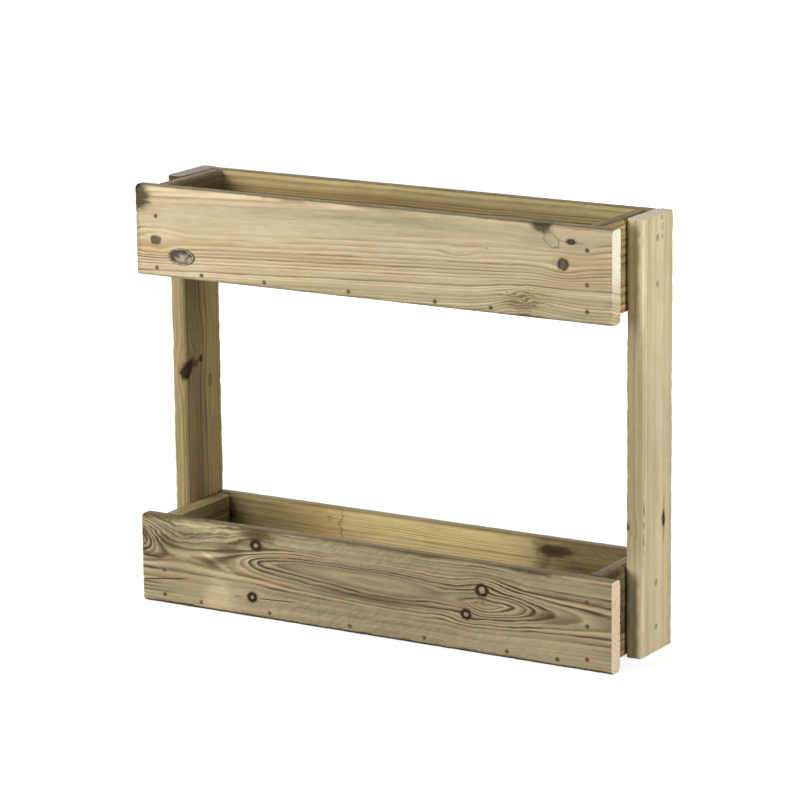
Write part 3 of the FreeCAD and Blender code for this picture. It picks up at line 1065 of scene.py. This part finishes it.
def plate_surface(shape):
    """Ovals of growing size: a slightly crowned field, a round bead near the edge, a rolled
    edge, and a flat back that closes on a point just inside the timber. Also how pale each
    point is: worn pale on the bead, and paler towards the lower right and darker towards the
    upper left, which is painted shade."""
    field, bead, inside = shape.plate_thickness, shape.plate_bead, -0.2 * MM
    # share of the size, height, how pale: worn on the bead
    rows = ((0.04, field * 1.12, 0.5), (0.2, field * 1.1, 0.5), (0.4, field * 1.06, 0.45),
            (0.6, field * 1.0, 0.3), (0.76, field * 0.9, 0.0), (0.82, field * 0.9, 0.1),
            (0.855, bead * 0.85, 0.7), (0.885, bead, 1.0), (0.92, bead * 0.9, 0.9),
            (0.945, field * 0.95, 0.3), (0.975, field * 0.85, 0.2), (0.995, field * 0.5, 0.5),
            (1.0, field * 0.1, 0.3), (0.98, inside, 0.0), (0.5, inside, 0.0),
            (0.04, inside, 0.0))
    reach, lift, rub = np.array(rows).T
    angle = np.linspace(0.0, math.tau, PLATE_SIDES, endpoint=False)
    rings = np.zeros((len(rows), len(angle), 3))
    rings[..., X] = np.outer(reach, np.cos(angle)) * shape.plate_width / 2
    rings[..., Z] = np.outer(reach, np.sin(angle)) * shape.plate_height / 2
    rings[..., Y] = -lift[:, None]
    poles = np.array(((0.0, -lift[0], 0.0), (0.0, -lift[-1], 0.0)))
    # paler towards the lower right and darker towards the upper left: painted shade of the bead
    lower_right = (np.cos(angle) - np.sin(angle)) * 0.45
    rubbed = rub[:, None] + lower_right * np.where(reach < 0.8, reach, 0.0)[:, None]
    rubbed = np.concatenate((rubbed.ravel(), (rub[0], rub[-1])))
    return (*closed_tube(rings, poles), rubbed)


def pin_surface(middle, shape):
    """The plate's two pins: a round head on a thin shank, at either end of the oval."""
    # radius and depth of each ring, in mm
    rows = ((0.25, -0.62), (0.7, -0.55), (1.1, -0.36), (1.35, -0.05), (1.4, 0.3), (0.75, 0.5),
            (0.75, 9.0), (0.15, 10.5))
    radii, levels = np.array(rows).T
    depths = np.repeat(levels[:, None], PIN_SIDES, 1)
    inset = shape.plate_width * PIN_PLACE
    places = [middle + np.array((side * inset, -shape.plate_thickness, 0.0))
              for side in SIDES.values()]
    return revolved(places, Y, NEAR, radii, depths, 0 * depths)


def steel_material(name, zinc, rusty):
    """Dull zinc with rust that gathers in noise blotches about 2 mm wide."""
    colours = bpy.context.scene.planter_colours
    shader = Shader.for_material(name)
    ruled = shader.millimetres()
    blot = shader.cloud(ruled, (1.9, 1.9, 1.9), 4.0, 4.0, 0.6)
    scratch = shader.cloud(ruled, (0.35, 0.35, 2.5), 9.0, 2.0)
    rust = blot.smooth(0.12 - rusty * 0.3, 0.22 - rusty * 0.1)
    shade = shader.brighten(shader.mix(rust, getattr(colours, zinc), colours.rust),
                            1.0 + scratch * 0.5)
    return shader.finish(shade, rust * 0.35 + 0.42, blot * 0.12 + scratch * 0.05, 0.8,
                         Metallic=0.55)


def bronze_material(name):
    """Dark bronze, worn pale on the raised bead; paler towards the lower right and darker
    towards the upper left, which is painted shade; the face is finely hammered."""
    colours = bpy.context.scene.planter_colours
    shader = Shader.for_material(name)
    ruled = shader.millimetres()
    hammer = shader.cloud(ruled, (2.2, 2.2, 2.2), 2.0, 1.0)
    cloudy = shader.cloud(ruled, (9.0, 9.0, 6.0), 6.0, 2.0)
    rubbed = shader.attribute("rubbed")
    shade = shader.mix((rubbed * 0.8 + cloudy * 1.8).smooth(-0.05, 0.85), colours.bronze,
                       colours.bronze_worn_and_lit)
    shade = shader.brighten(shade, 1.0 + cloudy * 0.6 + hammer * 0.3)
    roughness = cloudy.smooth(-0.3, 0.3, 0.38, 0.58)
    return shader.finish(shade, roughness, hammer * 0.35 + cloudy * 0.2, 0.8, Metallic=0.6)


# The planks' figures

FRONT_AXES = (X, Z, Y)
END_AXES = (Y, Z, X)
POST_AXES = (Z, Y, X)
FLOOR_AXES = (X, Y, Z)

UPPER_FRONT = Figure(
    seed=1.3, pith_across=98, pith_depth=46, spacing=5, wander=6, flutter=2.2,
    contrast=0.8, streak=0.5, band=0.34, glint=0.12, stain=0.16, green=0.3, top=0.95,
    arris=-0.07, knot_tone="knot_grey", uneven=1.4, rise=0.05,
    knots=(
        Knot(37, 59, 8.8, rim=0, heart=0.95, stretch=1.3, reach=2.4),
        Knot(768, 87, 8.2, rim=0.85, rim_width=0.3, heart=0.9, reach=2.4),
        Knot(782, 122, 3.6, rim=0.9, rim_width=0.5, heart=0.95, stretch=1.7),
        Knot(729, 145, 12, rim=0.35, heart=0.98, stretch=1.5, lean=0.3, reach=2.2),
        Knot(749, 122, 11, rim=0.55, rim_width=0.08, heart=0, stretch=1.2, lean=0.35,
             bend=0.2),
        Knot(591, 89, 2.6, rim=0, heart=0.2, stretch=3.2, reach=2.2, bend=0.9),
        Knot(639, 100, 2.4, rim=0.1, heart=0.3, reach=2.6),
        Knot(-1, 147, 5, rim=1, rim_width=0.8, heart=0, stretch=1.1, bend=0),
    ),
    swells=(Swell(702, 12, 60, 70, 36, 13), Swell(591, 89, 30, 30, 7, -4)),
    dark=((6, 127, 21, 21, 1.25), (0, 146, 9, 8, 1.4), (1, 70, 8, 70, 0.3),
          (729, 150, 22, 9, 1.2), (700, 22, 32, 14, 0.35), (782, 122, 22, 2.4, 0.5),
          (700, 1, 40, 4, 0.6)),
    plain=((120, 98, 220, 30, 0.95), (420, 116, 240, 26, 0.8), (700, 118, 130, 24, 0.75)),
    curls=((700, 24, 40, 24, 0.75), (20, 66, 40, 40, 0.4)), curl_length=23,
    bold=((700, 22, 42, 22, 1.8), (700, 44, 60, 16, 0.8), (14, 50, 26, 40, 0.9)),
    amber=((24, 46, 40, 10, 0.5), (120, 62, 70, 6, 0.4), (20, 106, 26, 9, 0.3),
           (800, 96, 50, 14, 0.45), (800, 62, 60, 8, 0.35), (300, 55, 160, 5, 0.3)),
    olive=((330, 124, 300, 4, 0.22), (520, 129, 120, 5, 0.3), (560, 8, 400, 16, 0.25),
           (730, 125, 34, 16, 0.3)),
    # the two pale strips just under the top edge are a painted highlight
    light=((-2, 142, 10, 14, -0.5), (4, 122, 20, 20, -0.12), (120, 137, 130, 7, 0.12),
           (350, 141, 260, 4, 0.1), (330, 122, 260, 4, -0.06)),
    aged_end=((851, 10, 90, 52, 1),),
)

LOWER_FRONT = Figure(
    seed=2.9, pith_across=80, pith_depth=36.9, spacing=6.4, wander=7, flutter=4.4,
    contrast=0.95, streak=0.42, band=0.46, glint=0.16, stain=0.4, green=0.24, top=0.9,
    under=0.9, arris=0.3, blush=0.5, stain_and_shade_tone="damp_brown", cut_tone="cut_pink",
    cut_lines=0.1,
    knots=(
        Knot(218, 120, 6.6, rim=1.4, rim_width=0.46, heart=0.8, stretch=1.2, reach=2.9,
             bend=0.8),
        Knot(210, 34, 6.2, rim=1.4, rim_width=0.54, heart=0.9, reach=2.3),
        Knot(630, 103, 8.4, rim=1.4, rim_width=0.34, heart=0.85, stretch=1.1, reach=2.2),
        Knot(602, 61, 6.4, rim=1.4, rim_width=0.44, heart=0.85, stretch=1.1, reach=2.1),
        Knot(625, 82, 3.6, rim=0, heart=0.6, reach=3.6),
    ),
    swells=(Swell(236, 100, 44, 260, 20, -20), Swell(480, 85, 200, 120, 36, -24),
            Swell(634, 82, 62, 64, 28, -32, True), Swell(700, 78, 60, 110, 26, -14),
            Swell(-4, 111, 26, 34, 26, -34), Swell(80, 118, 60, 60, 20, 9)),
    splits=(Split(0, 44, 77, 2.4, -0.5), Split(0, 96, 36, 1.4, -13),
            Split(176, 200, 31, 0.9, -1), Split(222, 300, 33, 0.9, -3)),
    dark=((15, 145, 60, 5, 0.8), (222, 138, 34, 12, 0.9), (752, 74, 48, 9, 0.6),
          (0, 112, 9, 16, 0.7), (470, 146, 200, 4, 0.5), (720, 146, 60, 5, 0.8),
          (427, 0, 700, 5, 0.9), (60, 2, 60, 4, 0.6), (46, 104, 22, 12, 0.6),
          (100, 121, 22, 4, 0.5), (165, 106, 26, 11, 0.65), (20, 80, 40, 4, 0.6),
          (440, 62, 120, 7, 0.5), (218, 120, 16, 11, 0.4), (210, 34, 14, 12, 0.4),
          (615, 84, 34, 26, 0.25), (625, 84, 8, 4, 0.6), (775, 110, 90, 3.5, 0.6),
          (640, 125, 50, 5, 0.35)),
    light=((110, 136, 84, 5, 0.36), (145, 28, 26, 34, 0.3), (146, 81, 30, 5, 0.8, 0.47),
           (62, 80, 26, 3.4, 0.55, -0.16), (100, 81, 24, 3.4, 0.55, 0.22),
           (205, 92, 16, 14, 0.2), (50, 104, 66, 34, -0.2), (80, 50, 80, 40, -0.1),
           (440, 88, 60, 7, 0.1), (760, 30, 110, 10, 0.16), (390, 60, 180, 110, -0.16)),
    plain=((150, 26, 110, 34, 0.95), (390, 130, 170, 14, 0.95), (400, 22, 230, 30, 0.95),
           (740, 24, 150, 26, 0.85), (760, 131, 110, 12, 0.9)),
    bold=((670, 79, 62, 44, 0.9), (6, 110, 44, 40, 0.6), (212, 96, 50, 34, 0.6),
          (390, 86, 40, 20, 0.4)),
    furry=((410, 130, 190, 17, 1), (420, 24, 260, 30, 1), (720, 20, 110, 20, 0.7),
           (700, 132, 90, 10, 0.8)),
    curls=((30, 112, 60, 34, 0.3), (120, 128, 80, 18, 0.6), (450, 80, 500, 80, 0.12)),
    curl_length=30,
    amber=((50, 44, 60, 8, 0.35), (268, 108, 14, 4, 0.6), (240, 66, 60, 8, 0.3)),
    olive=((80, 30, 40, 14, 0.3), (640, 128, 200, 10, 0.25)),
    aged_end=((855, 72, 60, 110, 0.35),),
)

UPPER_BACK = Figure(
    seed=4.1, pith_across=150, pith_depth=40, spacing=3.4, wander=8, contrast=0.9,
    streak=0.4, stain=0.3, green=0.15, top=0.8, fade=24,
    knots=(Knot(300, 60, 7), Knot(560, 92, 6)),
    amber=((250, 122, 300, 10, 0.4),),
    # The patches at the left end are a painted shadow in the inner left corner; the others make
    # the inner face darker and its top strip paler
    dark=((2, 110, 22, 60, 1),),
    light=((4, 110, 18, 60, -0.6), (150, 110, 240, 60, -0.2), (330, 145, 420, 7, 0.2),
           (480, 120, 200, 60, -0.28), (720, 120, 140, 60, -0.1)),
)

LOWER_BACK = Figure(
    seed=5.3, pith_across=20, pith_depth=52, spacing=4.4, wander=8, contrast=0.9,
    streak=0.45, stain=0.3, green=0.2, top=0.4, fade=24, stain_and_shade_tone="damp_brown",
    knots=(Knot(220, 128, 3.4, rim=0.5), Knot(420, 52, 8)),
    amber=((203, 116, 38, 34, 0.7), (90, 116, 90, 60, 0.35)),
    # The patches at the left end are a painted shadow in the inner left corner; the others make
    # the middle and the top strip paler, and the inner face darker towards the right end
    light=((60, 95, 130, 80, -0.54), (430, 110, 170, 80, 0.34), (330, 145, 420, 7, 0.22),
           (634, 128, 28, 9, -0.4), (0, 100, 30, 60, -0.45)),
    dark=((710, 105, 104, 90, 0.74), (612, 105, 14, 90, 0.3), (242, 116, 2, 34, 0.5),
          (634, 128, 30, 9, 0.7), (0, 100, 30, 60, 0.8)),
)

LEFT_POST = Figure(
    seed=9.7, pith_across=50, pith_depth=44, spacing=5, wander=12, contrast=0.8,
    streak=0.4, band=0.4, stain=0.35, green=0.2, top=0.7, arris=-0.22, knot_tone="knot_dark",
    light=((341, 66, 420, 50, 0.4), (341, 0, 420, 10, -0.12), (682, 2, 16, 20, -0.5)),
    dark=((341, 34, 420, 18, 0.4), (372, 22, 7, 20, 0.8), (680, 2, 18, 20, 0.8)),
    amber=((361, 0, 60, 14, 0.15),),
    olive=((341, 0, 420, 12, 0.35),),
    knots=(Knot(363, 6, 9.5, depth=27, stretch=1.4, rim_width=0.4, heart=1, lean=-0.5),
           Knot(376, 44, 3.4, stretch=1.5, heart=0.9),
           Knot(336, 70, 4.6, stretch=2, rim=0.4, heart=0.3)),
)

RIGHT_POST = Figure(
    seed=10.9, pith_across=58, pith_depth=-22, spacing=4.2, wander=9, contrast=0.5,
    streak=0.32, stain=0.15, green=0.35, top=0.1, arris=0.2, knot_tone="knot_dark",
    knots=(Knot(676.5, 64, 3, rim=0.5, heart=0.3), Knot(646.5, 65.5, 3, rim=0.5, heart=0.3),
           Knot(662, 66, 3.4, rim=0.3, heart=0.2, stretch=1.6),
           Knot(206, 74, 3.6, rim_width=0.6, heart=1, stretch=2.4),
           Knot(206, 3, 4, depth=2, rim_width=0.6, heart=1)),
    amber=((340, 0, 200, 12, 0.3),),
    dark=((206, 74, 34, 2.5, 0.6), (236, 9, 11, 1.8, 0.8), (209, 9, 7, 1.6, 0.7),
          (186, 9, 10, 1.8, 0.8), (167, 8, 5, 1.6, 0.6)),
    light=((340, 0, 220, 12, -0.12), (610, 0, 100, 12, 0.44), (60, 0, 100, 12, 0.25),
           (220, 60, 260, 80, -0.1)),
)


def end_figure(lower, right):
    """An end board's figure. lower and right are 0 or 1: how far down and right it is."""
    # On the right boards both patches are a painted shadow on the outer face between the front
    # board's end and the upright; on the left boards they are painted shade on the inner face,
    # with a damp stain on the upper one
    if right:
        shadow_and_stain = (10, 100, 70, 110, 0.2 + 0.8 * lower)
        shaded = (16, 72, 60, 110, -0.46 - 0.2 * lower)
    else:
        shadow_and_stain = (72, 100, 160, 110, 0.8 * (1 - lower))
        shaded = (72, 72, 160, 90, -0.35 * (lower + 1))
    return Figure(
        seed=6.1 + lower * 2.3 + right * 1.1, pith_across=60, pith_depth=40 - 60 * right,
        spacing=4 + 2.5 * right, wander=10, contrast=0.9 + 0.4 * right, streak=0.4,
        stain=0.4, green=0.3, top=0.9 - 0.3 * lower, light=(shaded,), dark=(shadow_and_stain,),
        stain_and_shade_tone=("damp_stain", "damp_brown")[right],
        amber=((72, 72, 160, 110, 0.25 * right),), aged_end=((72, 72, 300, 300, 1),),
        knots=(Knot(50 + 40 * right, 70 - 20 * lower, 6),))


def floor_figure(lower):
    """A floor board's figure. lower is 0 or 1."""
    return Figure(seed=12.1 + lower * 1.9, pith_across=60, pith_depth=52, spacing=4,
                  contrast=0.6, stain=0.35, green=0.5,
                  knots=(Knot(180, 40, 7), Knot(520, 100, 8)))


# The pieces

TIERS = {"upper": "pale", "lower": "grey"}    # each trough's timber


def long_boards(face, figures, tones):
    """The two full-width boards of a face, with the nails whose heads they show."""
    for tier, figure, tone in zip(TIERS, figures, tones):
        board = f"{tier}_{face}_"
        nails = (board + "end_nails", board + "floor_nails")
        yield (Plank(board + "plank", board + "board", FRONT_AXES, figure, nails, FACES[face]),
               TIERS[tier], tone)


class PlankOperator:
    """Shared by the operators that make planks. planks() gives each plank, its slot and the
    name of its two tones."""

    def execute(self, context):
        for plank, slot, tones in self.planks():
            plank.build(Timber(plank, tones).material(), slot + "_timber")
        return {"FINISHED"}


class PLANTER_OT_front_boards(PlankOperator, bpy.types.Operator):
    """The two front boards, which lap across the uprights."""

    bl_idname = "planter.front_boards"
    bl_label = "Front boards"

    def planks(self):
        return long_boards("front", (UPPER_FRONT, LOWER_FRONT), TIERS.values())


class PLANTER_OT_back_boards(PlankOperator, bpy.types.Operator):
    """The two back boards, between the uprights."""

    bl_idname = "planter.back_boards"
    bl_label = "Back boards"

    def planks(self):
        return long_boards("back", (UPPER_BACK, LOWER_BACK), ("inner", "inner"))


class PLANTER_OT_end_boards(PlankOperator, bpy.types.Operator):
    """The four end boards, between front and back boards."""

    bl_idname = "planter.end_boards"
    bl_label = "End boards"

    def planks(self):
        for (lower, tier), (right, side) in product(enumerate(TIERS), enumerate(SIDES)):
            end = f"{tier}_{side}_end_"
            yield (Plank(end + "plank", end + "board", END_AXES, end_figure(lower, right)),
                   TIERS[tier], "inner")


class PLANTER_OT_uprights(PlankOperator, bpy.types.Operator):
    """The two uprights."""

    bl_idname = "planter.uprights"
    bl_label = "Uprights"

    def planks(self):
        for side, figure, tones in (("left", LEFT_POST, "aged"), ("right", RIGHT_POST, "post")):
            screws = tuple(f"{tier}_{side}_post_screws" for tier in TIERS)
            yield (Plank(side + "_upright", side + "_post", POST_AXES, figure, screws,
                         SIDES[side], head_size=9.0, rusting=0.3, ragged=2.4), "post", tones)


class PLANTER_OT_floor_boards(bpy.types.Operator):
    """The two drained floor boards: their solids stay and get their own timber."""

    bl_idname = "planter.floor_boards"
    bl_label = "Floor boards"

    def execute(self, context):
        for lower, tier in enumerate(TIERS):
            plank = Plank(tier + "_floor", tier + "_floor_board", FLOOR_AXES,
                          floor_figure(lower))
            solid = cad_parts[plank.node]
            solid.data.materials.clear()
            solid.data.materials.append(Timber(plank, "inner").material())
        return {"FINISHED"}


class PLANTER_OT_nails(bpy.types.Operator):
    """The nails in the front and back boards."""

    bl_idname = "planter.nails"
    bl_label = "Nails"

    def execute(self, context):
        material = steel_material("weathered_nail_steel", "steel", 0.8)
        for tier, (face, side), part in product(TIERS, FACES.items(), ("end", "floor")):
            group = f"{tier}_{face}_{part}"
            new_fasteners(group + "_wire_nails", group + "_nails", Y, side, nail_surface,
                          material, "nail_steel")
        return {"FINISHED"}


class PLANTER_OT_screws(bpy.types.Operator):
    """The screws through the uprights."""

    bl_idname = "planter.screws"
    bl_label = "Screws"

    def execute(self, context):
        material = steel_material("weathered_screw_steel", "zinc", 0.0)
        for tier, (name, side) in product(TIERS, SIDES.items()):
            group = f"{tier}_{name}"
            new_fasteners(group + "_cross_screws", group + "_post_screws", X, side,
                          screw_surface, material, "screw_steel")
        return {"FINISHED"}


class PLANTER_OT_plate(bpy.types.Operator):
    """The bare oval plate and its two pins, on the upper front board."""

    bl_idname = "planter.plate"
    bl_label = "Oval plate"

    def execute(self, context):
        shape = context.scene.planter_shape
        low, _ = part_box("upper_front_board")
        middle = np.array((low.x + shape.plate_along, low.y, low.z + shape.plate_up))
        material = bronze_material("dark_bronze")
        points, quads, triangles, rubbed = plate_surface(shape)
        new_piece("oval_plate", points + middle, quads, triangles, material, None, [],
                  {"rubbed": rubbed})
        surface = pin_surface(middle, shape)
        new_piece("oval_plate_pins", *surface, material, None, [],
                  {"rubbed": np.ones(len(surface[0]))})
        return {"FINISHED"}


class PLANTER_OT_stage(bpy.types.Operator):
    """The camera, the lamps, the white surroundings and the floor."""

    bl_idname = "planter.stage"
    bl_label = "Stage"

    CAMERA_PLACE = (3.08419, -5.1069, 1.75371)
    CAMERA_AZIMUTH, CAMERA_PITCH, CAMERA_ROLL = 31.1312, 13.1587, -0.6398
    CAMERA_LENS, SENSOR_WIDTH, CLIP_END = 176.495, 36.0, 60.0
    FLOOR_HALF, FLOOR_CELLS = 14.0, 14
    LAMPS = {
        # name: power setting, place, aim, size
        "side_lamp": ("side_power", (2.7, 0.05, 0.75), (0.3, 0.0, 0.35), 0.5),
        "front_lamp": ("front_power", (-1.9, -2.6, 1.5), (-0.1, -0.1, 0.35), 1.8),
        "top_lamp": ("top_power", (-0.3, -0.6, 3.2), (0.0, 0.0, 0.4), 2.2),
        "back_lamp": ("back_power", (-2.0, 3.0, 1.0), (0.0, 0.1, 0.35), 1.8),
    }

    def execute(self, context):
        studio = context.scene.planter_studio
        scene = context.scene
        scene.view_settings.view_transform = "Standard"
        self.make_camera(scene)
        for name, (power, place, aim, size) in self.LAMPS.items():
            self.make_lamp(scene, name, getattr(studio, power), place, aim, size)
        self.make_surroundings(scene, studio)
        self.make_floor(scene, studio)
        return {"FINISHED"}

    def make_camera(self, scene):
        data = bpy.data.cameras.new("camera")
        data.sensor_width = self.SENSOR_WIDTH
        data.lens = self.CAMERA_LENS
        data.clip_end = self.CLIP_END
        camera = bpy.data.objects.new("camera", data)
        azimuth, pitch, roll = (math.radians(a) for a in (
            self.CAMERA_AZIMUTH, self.CAMERA_PITCH, self.CAMERA_ROLL))
        turned = (Matrix.Rotation(azimuth, 4, "Z") @ Matrix.Rotation(math.pi / 2 - pitch, 4, "X")
                  @ Matrix.Rotation(roll, 4, "Z"))
        camera.matrix_world = Matrix.Translation(self.CAMERA_PLACE) @ turned
        scene.collection.objects.link(camera)
        scene.camera = camera

    def make_lamp(self, scene, name, power, place, aim, size):
        data = bpy.data.lights.new(name, "AREA")
        data.energy = power
        data.size = size
        lamp = bpy.data.objects.new(name, data)
        lamp.location = place
        lamp.rotation_mode = "QUATERNION"
        lamp.rotation_quaternion = (Vector(aim) - Vector(place)).to_track_quat("-Z", "Y")
        scene.collection.objects.link(lamp)

    def make_surroundings(self, scene, studio):
        """White for the eye; a plain ambient light for the rest."""
        scene.world = bpy.data.worlds.new("studio")
        shader = Shader(scene.world)
        strength = shader.eye().smooth(0.0, 1.0, studio.ambient, 1.0)
        light = shader.node("Background", {}, {"Color": (1.0,) * 4, "Strength": strength})
        shader.node("OutputWorld", {}, {"Surface": light})

    def make_floor(self, scene, studio):
        """A level square, far wider than the view: matt, and lifted to white for the eye."""
        lines = np.linspace(-self.FLOOR_HALF, self.FLOOR_HALF, self.FLOOR_CELLS + 1)
        x, y = np.meshgrid(lines, lines, indexing="ij")
        points = np.stack((x, y, 0 * x), -1).reshape(-1, 3)
        row, cell = len(lines), np.arange(self.FLOOR_CELLS)
        corner = np.add.outer(cell * row, cell).ravel()
        quads = np.stack((corner, corner + row, corner + row + 1, corner + 1), 1)
        mesh = bpy.data.meshes.new("floor")
        mesh.from_pydata(points, [], quads.tolist())
        shader = Shader.for_material("pale_floor")
        matt = shader.node("BsdfDiffuse", {}, {"Color": (*(studio.floor_grey,) * 3, 1)})
        away = shader.node("VectorMath", {"operation": "LENGTH"}, {0: shader.place()}, "Value")
        paling = away.smooth(studio.glow_near, studio.glow_far)
        glow = paling.smooth(0.0, 1.0, studio.floor_glow, 1.0) * shader.eye()
        white = shader.node("Emission", {}, {"Color": (1.0,) * 4, "Strength": glow})
        lifted = shader.node("AddShader", {}, {0: matt, 1: white})
        shader.node("OutputMaterial", {}, {"Surface": lifted})
        mesh.materials.append(shader.holder)
        floor = bpy.data.objects.new("floor", mesh)
        scene.collection.objects.link(floor)
        floor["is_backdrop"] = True


class PLANTER_PT_panel(bpy.types.Panel):
    """Lists the planter's settings and the operators that build it."""

    bl_idname = "PLANTER_PT_panel"
    bl_label = "Planter"
    bl_space_type = "VIEW_3D"
    bl_region_type = "UI"
    bl_category = "Planter"

    def draw(self, context):
        layout = self.layout
        for operator in OPERATORS:
            layout.operator(operator.bl_idname)
        for holder in GROUPS:
            box = layout.box()
            group = getattr(context.scene, holder)
            for name in group.bl_rna.properties.keys():
                if name not in ("rna_type", "name"):
                    box.prop(group, name)


OPERATORS = (PLANTER_OT_stage, PLANTER_OT_front_boards, PLANTER_OT_back_boards,
             PLANTER_OT_end_boards, PLANTER_OT_floor_boards, PLANTER_OT_uprights,
             PLANTER_OT_nails, PLANTER_OT_screws, PLANTER_OT_plate)
GROUPS = {"planter_shape": PlanterShape, "planter_colours": PlanterColours,
          "planter_studio": PlanterStudio}


def register():
    for group in GROUPS.values():
        bpy.utils.register_class(group)
    for name, group in GROUPS.items():
        setattr(bpy.types.Scene, name, PointerProperty(type=group))
    for operator in OPERATORS:
        bpy.utils.register_class(operator)
    bpy.utils.register_class(PLANTER_PT_panel)


def unregister():
    bpy.utils.unregister_class(PLANTER_PT_panel)
    for operator in reversed(OPERATORS):
        bpy.utils.unregister_class(operator)
    for name, group in GROUPS.items():
        delattr(bpy.types.Scene, name)
        bpy.utils.unregister_class(group)


def main():
    register()
    bpy.ops.planter.stage()
    bpy.ops.planter.front_boards()
    bpy.ops.planter.back_boards()
    bpy.ops.planter.end_boards()
    bpy.ops.planter.floor_boards()
    bpy.ops.planter.uprights()
    bpy.ops.planter.nails()
    bpy.ops.planter.screws()
    bpy.ops.planter.plate()
    boxes = {"cad": cad_box, "visual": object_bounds()}
    {name: [list(corner) for corner in box] for name, box in boxes.items()}


if __name__ == "__main__":
    main()
